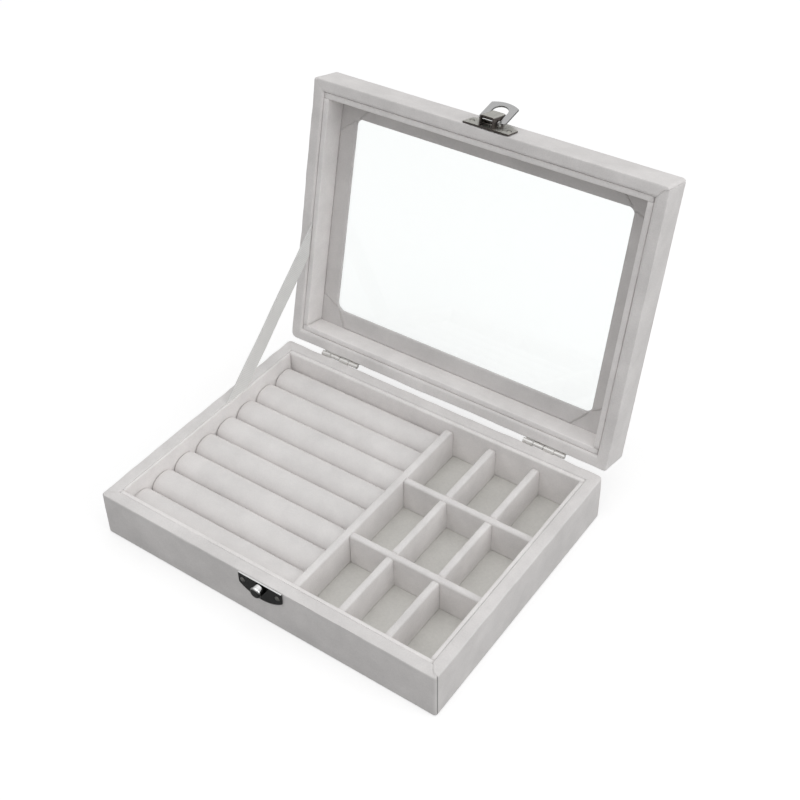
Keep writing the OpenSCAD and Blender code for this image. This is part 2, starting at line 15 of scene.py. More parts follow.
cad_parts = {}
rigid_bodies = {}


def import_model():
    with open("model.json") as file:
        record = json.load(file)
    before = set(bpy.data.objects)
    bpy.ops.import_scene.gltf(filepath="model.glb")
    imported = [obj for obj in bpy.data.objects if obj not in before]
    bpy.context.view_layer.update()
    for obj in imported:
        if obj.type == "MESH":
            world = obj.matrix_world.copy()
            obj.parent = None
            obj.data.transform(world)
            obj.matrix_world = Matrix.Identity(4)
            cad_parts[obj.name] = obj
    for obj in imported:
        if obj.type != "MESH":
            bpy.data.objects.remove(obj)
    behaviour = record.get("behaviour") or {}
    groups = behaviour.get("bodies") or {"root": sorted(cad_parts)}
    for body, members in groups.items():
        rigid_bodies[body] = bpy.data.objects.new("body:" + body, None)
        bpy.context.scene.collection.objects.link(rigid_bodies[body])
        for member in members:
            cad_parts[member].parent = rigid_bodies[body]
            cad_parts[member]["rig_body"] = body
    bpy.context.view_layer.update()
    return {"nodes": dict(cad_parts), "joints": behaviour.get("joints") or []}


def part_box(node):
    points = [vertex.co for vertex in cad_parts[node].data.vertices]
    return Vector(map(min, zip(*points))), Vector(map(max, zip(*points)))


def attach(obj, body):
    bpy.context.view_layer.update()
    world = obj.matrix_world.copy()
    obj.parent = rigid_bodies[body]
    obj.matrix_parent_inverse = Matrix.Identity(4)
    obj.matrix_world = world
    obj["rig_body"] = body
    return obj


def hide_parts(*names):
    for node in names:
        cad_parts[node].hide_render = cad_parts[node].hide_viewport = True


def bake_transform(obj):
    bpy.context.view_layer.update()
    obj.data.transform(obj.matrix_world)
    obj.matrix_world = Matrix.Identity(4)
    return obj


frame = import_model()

MM = 0.001


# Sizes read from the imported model

def box_mm(node):
    """Lowest and highest corner of a CAD node at rest, in millimetres."""
    lo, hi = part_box(node)
    return Vector(lo) / MM, Vector(hi) / MM


def joint(name):
    return next(j for j in frame["joints"] if j["name"] == name)


hinge = Vector(joint("lid_hinge")["pos_m"]) / MM
open_angle = math.radians(joint("lid_hinge")["range_deg"][1])
to_open = Matrix.Translation(hinge) @ Matrix.Rotation(-open_angle, 4, "X") @ Matrix.Translation(-hinge)
to_shut = to_open.inverted()


def shut_box_mm(node):
    """Lowest and highest corner of a lid node, in millimetres, with the lid swung shut."""
    points = np.array([to_shut @ (v.co / MM) for v in frame["nodes"][node].data.vertices])
    return Vector(points.min(0)), Vector(points.max(0))


wrap_lo, wrap_hi = box_mm("base_wrap")
case_w = wrap_hi.x - wrap_lo.x
case_d = wrap_hi.y - wrap_lo.y
base_h = wrap_hi.z
lid_lo, lid_hi = shut_box_mm("lid_wrap")
lid_z = lid_lo.z
top_z = lid_hi.z
liner_lo, liner_hi = box_mm("base_liner_front")
inner_w = liner_hi.x - liner_lo.x
rim_w = (case_w - inner_w) / 2
glass_hi = shut_box_mm("window_glass")[1]
bezel_lo, bezel_hi = shut_box_mm("window_bezel")
lid_strip_hi = shut_box_mm("lid_liner_front")[1]
ground_z = lid_strip_hi.z
lid_liner_reach = lid_strip_hi.y + case_d / 2

velvet_t = 0.8
turn_in = 12.0
window_margin = 19.7
window_r = 4.0
window_step = 1.2

# Plan radii of the upright corners: front right, back right, back left, front left
BASE_CORNERS = (1.7, 2.8, 2.6, 2.0)
LID_CORNERS = (2.0, 2.0, 3.0, 2.0)


# Materials

def shader_material(name):
    """A new material with its node tree, its Principled shader and object coordinates."""
    material = bpy.data.materials.new(name)
    material.use_nodes = True
    tree = material.node_tree
    shader = tree.nodes["Principled BSDF"]
    coordinates = tree.nodes.new("ShaderNodeTexCoord")
    return material, tree, shader, coordinates.outputs["Object"]


def noise_node(tree, vector, scale, detail=3.0, roughness=0.55):
    """Noise of so many cells a metre."""
    node = tree.nodes.new("ShaderNodeTexNoise")
    node.inputs["Scale"].default_value = scale
    node.inputs["Detail"].default_value = detail
    node.inputs["Roughness"].default_value = roughness
    tree.links.new(vector, node.inputs["Vector"])
    return node.outputs["Fac"]


def ramp(tree, factor, stops):
    """Colour ramp through (place, colour) stops."""
    node = tree.nodes.new("ShaderNodeValToRGB")
    elements = node.color_ramp.elements
    while len(elements) < len(stops):
        elements.new(0.5)
    for element, (place, colour) in zip(elements, stops):
        element.position = place
        element.color = (*colour, 1.0)
    tree.links.new(factor, node.inputs["Fac"])
    return node.outputs["Color"]


def mix_numbers(tree, a, b, share):
    """a and b mixed, with that share of b."""
    node = tree.nodes.new("ShaderNodeMix")
    node.data_type = "FLOAT"
    node.inputs["Factor"].default_value = share
    tree.links.new(a, node.inputs["A"])
    tree.links.new(b, node.inputs["B"])
    return node.outputs["Result"]


def maths(tree, operation, *terms):
    """Result of a Math node whose terms are sockets or numbers."""
    node = tree.nodes.new("ShaderNodeMath")
    node.operation = operation
    for term, socket in zip(terms, node.inputs):
        if isinstance(term, float):
            socket.default_value = term
        else:
            tree.links.new(term, socket)
    return node.outputs["Value"]


def map_range(tree, value, before=(0.0, 1.0), after=(0.0, 1.0)):
    """The value, held within one range and stretched to another."""
    node = tree.nodes.new("ShaderNodeMapRange")
    node.inputs["From Min"].default_value, node.inputs["From Max"].default_value = before
    node.inputs["To Min"].default_value, node.inputs["To Max"].default_value = after
    tree.links.new(value, node.inputs["Value"])
    return node.outputs["Result"]


def bump(tree, shader, height, strength, distance):
    """Relief on the shader's surface, its distance in metres."""
    node = tree.nodes.new("ShaderNodeBump")
    node.inputs["Strength"].default_value = strength
    node.inputs["Distance"].default_value = distance
    tree.links.new(height, node.inputs["Height"])
    tree.links.new(node.outputs["Normal"], shader.inputs["Normal"])


def shade(colour, factor):
    """The colour made lighter or darker."""
    return tuple(min(1.0, c * factor) for c in colour)


def paint_corner_crease_shadow(tree, place, colour):
    """The colour with a painted shadow along the crease down the near corner."""
    parts = tree.nodes.new("ShaderNodeSeparateXYZ")
    tree.links.new(place, parts.inputs["Vector"])
    along = maths(tree, "ADD", parts.outputs["X"], parts.outputs["Y"])
    line = ((case_w - case_d) / 2 + CREASE_PLACE) * MM
    away = maths(tree, "ABSOLUTE", maths(tree, "SUBTRACT", along, line))
    band = map_range(tree, away, (0.0, CREASE_REACH * MM), (CREASE_SHADE, 0.0))
    band.node.interpolation_type = "SMOOTHSTEP"
    outer = map_range(tree, parts.outputs["X"], [(case_w / 2 - depth) * MM for depth in CREASE_SKIN])
    mix = tree.nodes.new("ShaderNodeMix")
    mix.data_type = "RGBA"
    mix.inputs["B"].default_value = (*CREASE_SHADOW_COLOUR, 1.0)
    tree.links.new(maths(tree, "MULTIPLY", band, outer), mix.inputs["Factor"])
    tree.links.new(colour, mix.inputs["A"])
    return mix.outputs["Result"]


def velvet_material(name, colour, contrast, sheen=0.35, painted_crease_shadow=False):
    """Short pile: broad brushed patches, fine grain, and a pale sheen at glancing angles."""
    material, tree, shader, place = shader_material(name)
    brushed = noise_node(tree, place, scale=48, detail=6.0, roughness=0.62)
    grain = noise_node(tree, place, scale=1500, detail=2.0, roughness=0.7)
    mixed = mix_numbers(tree, brushed, grain, share=0.3)
    stops = [(0.34, shade(colour, 1 - contrast)), (0.66, shade(colour, 1 + contrast))]
    pile = ramp(tree, mixed, stops)
    # Painted shadow in the crease down the near corner
    if painted_crease_shadow:
        pile = paint_corner_crease_shadow(tree, place, pile)
    tree.links.new(pile, shader.inputs["Base Color"])
    shader.inputs["Roughness"].default_value = 0.95
    shader.inputs["Specular IOR Level"].default_value = 0.1
    shader.inputs["Sheen Weight"].default_value = sheen
    shader.inputs["Sheen Roughness"].default_value = 0.5
    shader.inputs["Sheen Tint"].default_value = (1.0, 0.98, 0.96, 1.0)
    bump(tree, shader, grain, strength=0.35, distance=0.00012)
    return material


def felt_material(name, colour):
    """Matted fibres: flecks of two sizes with little sheen."""
    material, tree, shader, place = shader_material(name)
    flecks = noise_node(tree, place, scale=700, detail=5.0, roughness=0.75)
    clouds = noise_node(tree, place, scale=45)
    mixed = mix_numbers(tree, flecks, clouds, share=0.45)
    stops = [(0.3, shade(colour, 0.9)), (0.7, shade(colour, 1.08))]
    tree.links.new(ramp(tree, mixed, stops), shader.inputs["Base Color"])
    shader.inputs["Roughness"].default_value = 1.0
    shader.inputs["Specular IOR Level"].default_value = 0.05
    shader.inputs["Sheen Weight"].default_value = 0.15
    bump(tree, shader, flecks, strength=0.4, distance=0.0001)
    return material


def metal_material(name, upper, side, lower, roughness):
    """Bright plating with painted reflections. Real plating mirrors a pale ceiling above and a darker
    room around, which the bare studio hasn't got, so its colour is a painted reflection that
    follows the way a face is turned at rest."""
    material, tree, shader, place = shader_material(name)
    faces = tree.nodes.new("ShaderNodeSeparateXYZ")
    turned = tree.nodes.new("ShaderNodeTexCoord")
    tree.links.new(turned.outputs["Normal"], faces.inputs["Vector"])
    tilt = map_range(tree, faces.outputs["Z"], (-1.0, 1.0))
    cloudy = noise_node(tree, place, scale=260)
    mixed = mix_numbers(tree, tilt, cloudy, share=0.14)
    # Painted reflections: lower on faces turned down, side on upright faces, upper on faces turned up
    stops = [(0.36, lower), (0.5, side), (0.62, side), (0.86, upper)]
    tree.links.new(ramp(tree, mixed, stops), shader.inputs["Base Color"])
    rubbed = noise_node(tree, place, scale=900, detail=4.0, roughness=0.7)
    spread = map_range(tree, rubbed, after=(roughness * 0.8, roughness * 1.4))
    tree.links.new(spread, shader.inputs["Roughness"])
    shader.inputs["Metallic"].default_value = 1.0
    bump(tree, shader, rubbed, strength=0.05, distance=0.00002)
    return material


def glass_material(name):
    """Clear glass that lets lamplight through."""
    material, tree, shader, place = shader_material(name)
    shader.inputs["Base Color"].default_value = (0.97, 0.99, 0.985, 1.0)
    shader.inputs["Roughness"].default_value = 0.0
    shader.inputs["IOR"].default_value = 1.5
    shader.inputs["Transmission Weight"].default_value = 1.0
    smears = noise_node(tree, place, scale=30)
    bump(tree, shader, smears, strength=0.02, distance=0.00002)
    clear = tree.nodes.new("ShaderNodeBsdfTransparent")
    rays = tree.nodes.new("ShaderNodeLightPath")
    mix = tree.nodes.new("ShaderNodeMixShader")
    tree.links.new(rays.outputs["Is Shadow Ray"], mix.inputs["Fac"])
    tree.links.new(shader.outputs["BSDF"], mix.inputs[1])
    tree.links.new(clear.outputs["BSDF"], mix.inputs[2])
    tree.links.new(mix.outputs["Shader"], tree.nodes["Material Output"].inputs["Surface"])
    return material


def board_material(name):
    """Raw fibreboard."""
    material, tree, shader, place = shader_material(name)
    fibres = noise_node(tree, place, scale=420, detail=6.0, roughness=0.8)
    stops = [(0.3, (0.36, 0.25, 0.15)), (0.7, (0.52, 0.39, 0.25))]
    tree.links.new(ramp(tree, fibres, stops), shader.inputs["Base Color"])
    shader.inputs["Roughness"].default_value = 0.9
    bump(tree, shader, fibres, strength=0.2, distance=0.0001)
    return material


def ribbon_material(name, colour):
    """Satin ribbon: fine ribs across its run and a soft gloss."""
    material, tree, shader, place = shader_material(name)
    turn = tree.nodes.new("ShaderNodeVectorRotate")
    turn.rotation_type = "X_AXIS"
    turn.inputs["Angle"].default_value = -math.atan2(ribbon_run.z, ribbon_run.y)
    tree.links.new(place, turn.inputs["Vector"])
    ribs = tree.nodes.new("ShaderNodeTexWave")
    ribs.bands_direction = "Y"
    ribs.inputs["Scale"].default_value = 340
    ribs.inputs["Distortion"].default_value = 0.4
    tree.links.new(turn.outputs["Vector"], ribs.inputs["Vector"])
    clouds = noise_node(tree, place, scale=120)
    mixed = mix_numbers(tree, ribs.outputs["Fac"], clouds, share=0.6)
    stops = [(0.3, shade(colour, 0.94)), (0.7, shade(colour, 1.05))]
    tree.links.new(ramp(tree, mixed, stops), shader.inputs["Base Color"])
    shader.inputs["Roughness"].default_value = 0.5
    shader.inputs["Sheen Weight"].default_value = 0.3
    bump(tree, shader, ribs.outputs["Fac"], strength=0.15, distance=0.00005)
    return material


# Where the ribbon runs, from its foot in the base's seam to its head in the lid's
RIBBON_FOOT_Y = 21.0
RIBBON_HEAD_Y = 14.0
ribbon_lo, ribbon_hi = box_mm("ribbon_stay")
ribbon_foot = Vector((0, RIBBON_FOOT_Y, base_h))
ribbon_head = to_open @ Vector((0, RIBBON_HEAD_Y, lid_z))
ribbon_head.x = 0
ribbon_run = (ribbon_head - ribbon_foot).normalized()

# The velvets are lighter and darker copies of this colour, painted light and shade set to the
# photograph's tones
VELVET = (0.76, 0.74, 0.732)
# Colours of the metals' painted reflections
PAINTED_PALE_REFLECTION = (0.9, 0.89, 0.87)
DARK_GREY = (0.2, 0.2, 0.19)
NEAR_BLACK = (0.03, 0.03, 0.03)

# Painted shadow line down the near corner: how far past the corner it runs, its reach and its strength
CREASE_PLACE = 1.25
CREASE_REACH = 0.7
CREASE_SHADE = 0.75
CREASE_SHADOW_COLOUR = (0.09, 0.085, 0.085)

# Between these depths under the right face the painted shadow fades in, towards that face
CREASE_SKIN = (0.9, 0.5)

# Velvets have the contrast of their brushed patches, and metals their painted reflections on faces
# turned up, sideways and down, and their roughness
materials = {
    # The factors on VELVET below are painted light and shade on one fabric
    "wrap": velvet_material("velvet_wrap", VELVET, contrast=0.1, painted_crease_shadow=True),
    "lid_wrap": velvet_material("velvet_lid_wrap", shade(VELVET, 1.05), contrast=0.1),
    "liner": velvet_material("velvet_liner", shade(VELVET, 1.13), contrast=0.09),
    "divider": velvet_material("velvet_divider", shade(VELVET, 1.03), contrast=0.11),
    "roll": velvet_material("velvet_roll", shade(VELVET, 1.02), contrast=0.07, sheen=0.45),
    "bezel": velvet_material("velvet_bezel", shade(VELVET, 0.9), contrast=0.08),
    "felt": felt_material("grey_felt", (0.74, 0.732, 0.7)),
    "underfelt": felt_material("under_felt", (0.42, 0.42, 0.4)),
    "nickel": metal_material("nickel_painted_reflections", PAINTED_PALE_REFLECTION, PAINTED_PALE_REFLECTION, (0.75, 0.74, 0.73), 0.35),
    "tongue": metal_material("tongue_nickel", (0.6, 0.6, 0.6), (0.3, 0.3, 0.3), (0.3, 0.3, 0.3), 0.25),
    "hasp": metal_material("hasp_nickel", (1.0, 0.99, 0.93), (0.16, 0.14, 0.13), (0.05, 0.045, 0.04),
                           0.38),
    "nail": metal_material("nail_painted_reflections", (0.4, 0.39, 0.36), DARK_GREY, (0.05, 0.05, 0.05), 0.3),
    "catch": metal_material("catch_nickel", (0.92, 0.92, 0.92), NEAR_BLACK, (0.02, 0.02, 0.02), 0.18),
    "knob": metal_material("knob_nickel", (0.95, 0.95, 0.95), (0.04, 0.04, 0.04), NEAR_BLACK, 0.15),
    "steel": metal_material("spring_steel", (0.95, 0.95, 0.94), (0.9, 0.9, 0.89), (0.6, 0.6, 0.6),
                            0.12),
    "glass": glass_material("window_glass_clear"),
    "board": board_material("raw_board"),
    "ribbon": ribbon_material("satin_ribbon", (0.8, 0.8, 0.785)),
}


# Mesh making

def make_piece(name, points, faces, material, body, matrix=None):
    """A smooth-shaded piece from points in millimetres, riding on a body."""
    mesh = bpy.data.meshes.new(name)
    mesh.from_pydata([tuple(p) for p in points], [], faces)
    if matrix is not None:
        mesh.transform(matrix)
    mesh.transform(Matrix.Scale(MM, 4))
    bm = bmesh.new()
    bm.from_mesh(mesh)
    bmesh.ops.recalc_face_normals(bm, faces=bm.faces)
    bm.to_mesh(mesh)
    bm.free()
    mesh.polygons.foreach_set("use_smooth", [True] * len(mesh.polygons))
    mesh.materials.append(materials[material])
    piece = bpy.data.objects.new(name, mesh)
    bpy.context.scene.collection.objects.link(piece)
    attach(piece, body)
    return piece


def wave(point, length, seed):
    """Smooth noise of about that wavelength in millimetres, from -1 to 1."""
    return noise.noise(Vector(point) / length + Vector((seed, 1.7 * seed, -0.6 * seed)))


def waves(point, height_and_length, seed):
    """Waves of that height and length, in millimetres."""
    height, length = height_and_length
    return height * wave(point, length, seed)


def subdivide(outline, step):
    """Closed outline of tuples with extra points, so that none are further apart than step."""
    points = []
    for a, b in zip(outline, outline[1:] + outline[:1]):
        count = max(1, math.ceil(math.dist(a[:2], b[:2]) / step))
        for i in range(count):
            t = i / count
            points.append(tuple(x + (y - x) * t for x, y in zip(a, b)))
    return points


def rounded(corners, arc_points=5):
    """Closed outline of (x, y, radius, ...) corners with each corner rounded to its radius."""
    outline = []
    for i, corner in enumerate(corners):
        here = Vector(corner[:2])
        before = (Vector(corners[i - 1][:2]) - here).normalized()
        after = (Vector(corners[(i + 1) % len(corners)][:2]) - here).normalized()
        radius, extra = corner[2], tuple(corner[3:])
        if radius <= 0:
            outline.append((here.x, here.y, *extra))
            continue
        half = before.angle(after) / 2
        centre = here + (before + after).normalized() * (radius / math.sin(half))
        start = here + before * (radius / math.tan(half)) - centre
        end = here + after * (radius / math.tan(half)) - centre
        sweep = start.angle_signed(end)
        for k in range(arc_points + 1):
            turned = Matrix.Rotation(-sweep * k / arc_points, 2) @ start
            outline.append((centre.x + turned.x, centre.y + turned.y, *extra))
    return outline


def sheet_faces(nx, ny):
    """Faces of a closed sheet: nx by ny points for its lower side, then as many for its upper."""
    faces = []
    for j in range(ny - 1):
        for i in range(nx - 1):
            a = j * nx + i
            b = a + nx * ny
            faces.append((a, a + 1, a + nx + 1, a + nx))
            faces.append((b, b + nx, b + nx + 1, b + 1))
    border = list(range(nx))
    border += [j * nx + nx - 1 for j in range(1, ny)]
    border += [(ny - 1) * nx + i for i in range(nx - 2, -1, -1)]
    border += [j * nx for j in range(ny - 2, 0, -1)]
    for a, b in zip(border, border[1:] + border[:1]):
        faces.append((a, b, b + nx * ny, a + nx * ny))
    return faces


# Distances from a corner, in millimetres, at which a frame's side has extra stations
NEAR_CORNER = (0.2, 0.4, 0.6, 0.8, 1.0, 1.2, 1.45, 1.7, 2.1, 2.8, 3.8, 5.0)

# Rough distance between the other stations, and the angles of those round a corner
STATION_STEP = 3.0
CORNER_ANGLES = (0, 15, 30, 40, 45, 50, 56, 61, 64, 66, 68, 70, 72, 75, 80, 90)


def frame_stations():
    """Stations round the case: (side, kind, value)."""
    stations = []
    for side in range(4):
        length = case_w if side % 2 == 0 else case_d
        middle = round(length / STATION_STEP)
        stations += [(side, "start", d) for d in NEAR_CORNER]
        stations += [(side, "share", k / middle) for k in range(1, middle)]
        stations += [(side, "end", d) for d in reversed(NEAR_CORNER)]
        stations += [(side, "arc", angle) for angle in CORNER_ANGLES]
    return stations


def station_point(station, half_w, half_d, radii):
    """Where a station lies on the rectangle with those half sizes and corner radii."""
    side, kind, value = station
    hx, hy = (half_w, half_d) if side % 2 == 0 else (half_d, half_w)
    start = radii[side - 1] - hx
    end = hx - radii[side]
    if kind == "start":
        x, y = start + value, -hy
    elif kind == "end":
        x, y = end - value, -hy
    elif kind == "share":
        reach = NEAR_CORNER[-1]
        x, y = start + reach + (end - start - 2 * reach) * value, -hy
    else:
        angle = math.radians(value - 90)
        x = end + radii[side] * math.cos(angle)
        y = radii[side] - hy + radii[side] * math.sin(angle)
    for _ in range(side):
        x, y = -y, x
    return x, y


# Fold and crease at the corner seam, on the upright faces and on the rim
FOLD_RISE = (0.14, 0.34)
FOLD_REACH = 6.0
CREASE_DEPTH = 0.55
CREASE_WIDTH = (0.55, 0.3)

# The crease starts so far past the corner and bends back and on again across the rim: each
# bend's shift, how far inwards it begins and how long it is
CREASE_START = 0.9
CREASE_BENDS = ((-1.5, 0.6, 2.4), (0.9, 3.6, 1.2))
SEAM_LENGTH = 30


def eased(value):
    """0 below 0, 1 above 1, and a smooth step between."""
    t = min(1.0, max(0.0, value))
    return t * t * (3 - 2 * t)


def seam(point, strengths):
    """Height of the velvet beside the folded seam at the nearest corner.

    One side's velvet laps round the corner, ends in a crease just past it, and the
    crease wanders across the rim to the inner corner."""
    x, y = point[:2]
    a, b = case_w / 2 - abs(x), case_d / 2 - abs(y)
    corner = (0 if x > 0 else 3) if y < 0 else (1 if x > 0 else 2)
    past = b - a if corner % 2 == 0 else a - b
    if abs(past) > SEAM_LENGTH:
        return 0.0
    u = min(a, b)
    line = CREASE_START
    for shift, begin, length in CREASE_BENDS:
        line += shift * eased((u - begin) / length)
    away = past - line
    on_rim = eased((u - 0.4) / 1.0)
    if away <= 0:
        rise = FOLD_RISE[0] + (FOLD_RISE[1] - FOLD_RISE[0]) * on_rim
        height = rise * math.exp(away / FOLD_REACH)
    else:
        width = CREASE_WIDTH[0] + (CREASE_WIDTH[1] - CREASE_WIDTH[0]) * on_rim
        height = -CREASE_DEPTH * math.exp(-(away / width) ** 2)
    return strengths[corner] * height


def frame_sweep(name, outline, material, body, lift, matrix=None):
    """Sweeps a closed outline of (inwards, height, four corner radii, skin) round the case.

    lift(point, skin) gives how far a point moves out along its normal."""
    stations = frame_stations()
    points = []
    for u, z, radii, skin in outline:
        for station in stations:
            x, y = station_point(station, case_w / 2 - u, case_d / 2 - u, radii)
            points.append((x, y, z))
    rings, count = len(outline), len(stations)
    faces = []
    for j in range(rings):
        for i in range(count):
            a, b = j * count + i, j * count + (i + 1) % count
            c, d = (j + 1) % rings * count + (i + 1) % count, (j + 1) % rings * count + i
            faces.append((a, b, c, d))
    soft = lifted(points, faces, lambda n: lift(points[n], outline[n // count][3]))
    return make_piece(name, soft, faces, material, body, matrix)


def lifted(points, faces, amount):
    """The points moved out along their vertex normals by amount(index)."""
    mesh = bpy.data.meshes.new("measure")
    mesh.from_pydata(points, [], faces)
    bm = bmesh.new()
    bm.from_mesh(mesh)
    bmesh.ops.recalc_face_normals(bm, faces=bm.faces)
    bm.verts.ensure_lookup_table()
    moved = [v.co + v.normal * amount(v.index) for v in bm.verts]
    bm.free()
    bpy.data.meshes.remove(mesh)
    return moved


# A board's section is drawn this high, and its part below the top is stretched to fit
SECTION_H = 10
TOP_PART = 2
BOARD_STEP = 2.2
BOARD_FOOT_R = 0.45
BOARD_BROAD = (0.7, 14)
BOARD_FINE = (0.5, 5)


def board(name, length, thickness, top, bottom, edge_r, material, body, matrix,
          stops=(), seed=0.0, ripple=0.12, square_back=False, end_r=0.0):
    """Velvet-covered board along X from 0 to length, standing on z = 0.

    top(x) and bottom(x) are its edges' heights, stops are extra places along it, and
    end_r rounds its upright edges."""
    places = {*np.linspace(0, length, max(8, round(length / BOARD_STEP))).round(3), *stops}
    for share in (0.05, 0.2, 0.5, 1):
        if end_r > 0:
            places |= {share * end_r, length - share * end_r}
    places = sorted(places)
    half = thickness / 2
    back_r = 0.2 if square_back else edge_r
    corners = [(-half, 0, BOARD_FOOT_R), (half, 0, BOARD_FOOT_R)]
    corners += [(half, SECTION_H, back_r), (-half, SECTION_H, edge_r)]
    section = subdivide(rounded(corners, 6), 2.0)
    points = []
    for x in places:
        low, high = bottom(x), top(x)
        near = max(0.0, min(x, length - x))
        pinch = 1.0
        if near < end_r:
            pinch = 1 - (end_r - math.sqrt(end_r ** 2 - (end_r - near) ** 2)) / half
        for y, z in section:
            if SECTION_H - z <= TOP_PART:
                height = high - (SECTION_H - z)
            else:
                height = low + (high - TOP_PART - low) * z / (SECTION_H - TOP_PART)
            points.append((x, y * pinch, height))
    size = len(section)
    faces = []
    for k in range(len(places) - 1):
        for j in range(size):
            a, b = k * size + j, k * size + (j + 1) % size
            faces.append((a, b, b + size, a + size))
    first, last = len(points), len(points) + 1
    points.append((0, 0, (bottom(0) + top(0)) / 2))
    points.append((length, 0, (bottom(length) + top(length)) / 2))
    for j in range(size):
        faces.append((first, j, (j + 1) % size))
        end = (len(places) - 1) * size
        faces.append((last, end + (j + 1) % size, end + j))

    def rise(n):
        x, y, z = points[n]
        if z < bottom(x) + 1 or abs(x - length / 2) > length / 2 - 0.3:
            return 0.0
        if square_back and y > 0:
            return 0.0
        return ripple * (waves((x, y, z), BOARD_BROAD, seed) + waves((x, y, z), BOARD_FINE, seed + 9))

    return make_piece(name, lifted(points, faces, rise), faces, material, body, matrix)


# Velvet wraps

# Height and length of the waves in the wraps, on their faces and along their rounded edges
BROAD_WAVE = (0.09, 24)
FINE_WAVE = (0.03, 4)
EDGE_WAVE = (0.3, 9)
SLOW_LENGTH = 21

# Height and mean dent of the slow edge waves: first at the left and back, then what is added
# towards the front and right
SLOW_HEIGHT = (0.15, 0.4)
SLOW_DENT = (0.05, 0.15)
WAVY_FROM = 20

# Highest wave, so that the two rims stay apart when the lid is shut, and the height over
# which the waves grow from nothing at the foot
LIFT_LIMIT = 0.24
FOOT_EASE = 2


def wrap_lift(seed, strengths):
    """Waves in the glued velvet and the corner seams. The waves are stronger along the rounded
    edges, most of all at the front and right: the left and back edges look straighter."""
    def lift(point, skin):
        if skin <= 0:
            return 0.0
        x, y, z = point
        near_edge = max(0.0, skin - 1) ** 3
        wavy = eased((x + WAVY_FROM) / (2 * WAVY_FROM)) * eased((WAVY_FROM - y) / (2 * WAVY_FROM))
        slow_height = SLOW_HEIGHT[0] + SLOW_HEIGHT[1] * wavy
        slow = slow_height * wave(point, SLOW_LENGTH, seed + 5) - SLOW_DENT[0] - SLOW_DENT[1] * wavy
        edge = near_edge * (waves(point, EDGE_WAVE, seed + 3) + slow)
        height = waves(point, BROAD_WAVE, seed) + edge + waves(point, FINE_WAVE, seed + 7)
        height += min(skin, 1.0) * seam(point, strengths)
        return min(1.0, z / FOOT_EASE) * min(LIFT_LIMIT, height)
    return lift


def corner_radii(corners, u):
    """Plan radii so far inwards from the outer faces."""
    return tuple(max(r - u, 0.3) for r in corners)


# How strong the folded seam is at each corner, in the order of BASE_CORNERS
BASE_SEAMS = (1.0, 0.3, 0.3, 0.4)
LID_SEAMS = (0.8, 0.3, 0.3, 0.5)
OUTER_EDGE_R = 0.75
FOOT_EDGE_R = 0.8
BASE_INNER_EDGE_R = 0.8
LID_INNER_EDGE_R = 1.35
WINDOW_EDGE_R = 0.6
OUTLINE_STEP = 0.9

# From this far inwards the lid's plan radii go over from the case's corners to the window's
TOP_FROM = 1.0

# The wraps start this far inside their CAD box, and small clearances beside neighbours
INSET = 0.08
CLEAR = 0.05
SNUG = 0.02

# Thickness of the lid wrap's edge that is turned down to the glass
LIP = 0.6


def base_wrap():
    """Wrap from under the base up its walls, over the rim and down to the floor lining."""
    inner = velvet_t
    back = rim_w - velvet_t
    foot_z = box_mm("floor_lining")[0].z
    top = base_h - INSET
    under_rim = base_h - velvet_t - CLEAR
    corners = [
        (turn_in, SNUG, 0, 0), (INSET, SNUG, FOOT_EDGE_R, 1), (INSET, top, OUTER_EDGE_R, 2),
        (rim_w - CLEAR, top, BASE_INNER_EDGE_R, 1.5), (rim_w - CLEAR, foot_z, 0, 0),
        (back, foot_z, 0, 0), (back, under_rim, 0, 0), (inner, under_rim, 0, 0),
        (inner, velvet_t, 0, 0), (turn_in, velvet_t, 0, 0)]
    outline = []
    for u, z, skin in subdivide(rounded(corners, 6), OUTLINE_STEP):
        outline.append((u, z, corner_radii(BASE_CORNERS, u), skin))
    piece = frame_sweep("velvet_base_wrap", thinned(outline), "wrap", "base",
                        lift=wrap_lift(1.0, BASE_SEAMS))
    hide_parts("base_wrap")


def thinned(outline):
    """The outline without every second point of its straight upright parts."""
    kept = []
    for i, point in enumerate(outline):
        before, after = outline[i - 1], outline[(i + 1) % len(outline)]
        upright = before[0] == point[0] == after[0]
        if upright and i % 2:
            continue
        kept.append(point)
    return kept


def top_radii(u):
    """Plan radii across the lid's top, from the case's corners to the window's."""
    inner = window_margin - window_step
    share = eased((u - TOP_FROM) / (inner - TOP_FROM))
    outer_radii = corner_radii(LID_CORNERS, TOP_FROM)
    return tuple(r * (1 - share) + (window_r + window_step) * share for r in outer_radii)


def lid_wrap():
    """Wrap from the window's edge over the top, down the walls, round the rim and up inside."""
    back = rim_w - velvet_t
    edge = window_margin - window_step
    low, high = lid_z + INSET, top_z - INSET
    over_rim = lid_z + velvet_t + CLEAR
    under_top = top_z - velvet_t - SNUG
    over_glass = glass_hi.z + SNUG
    corners = [
        (edge, high, WINDOW_EDGE_R, 1), (INSET, high, OUTER_EDGE_R, 1.2), (INSET, low, OUTER_EDGE_R, 2),
        (rim_w - CLEAR, low, LID_INNER_EDGE_R, 1.5), (rim_w - CLEAR, ground_z, 0, 0),
        (back, ground_z, 0, 0), (back, over_rim, 0, 0), (velvet_t, over_rim, 0, 0),
        (velvet_t, under_top, 0, 0), (edge - LIP, under_top, 0, 0),
        (edge - LIP, over_glass, 0, 0), (edge, over_glass, 0, 0)]
    outline = []
    for u, z, skin in subdivide(rounded(corners, 6), OUTLINE_STEP):
        on_top = z > top_z - velvet_t - 0.5
        radii = top_radii(u) if on_top and u > TOP_FROM else corner_radii(LID_CORNERS, u)
        if u > edge - LIP - 0.1:
            radii = (window_r + window_step,) * 4
        outline.append((u, z, radii, skin))
    piece = frame_sweep("velvet_lid_wrap", thinned(outline), "lid_wrap", "lid",
                        matrix=to_open, lift=wrap_lift(31.0, LID_SEAMS))
    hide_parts("lid_wrap")


# Liners, dividers and linings

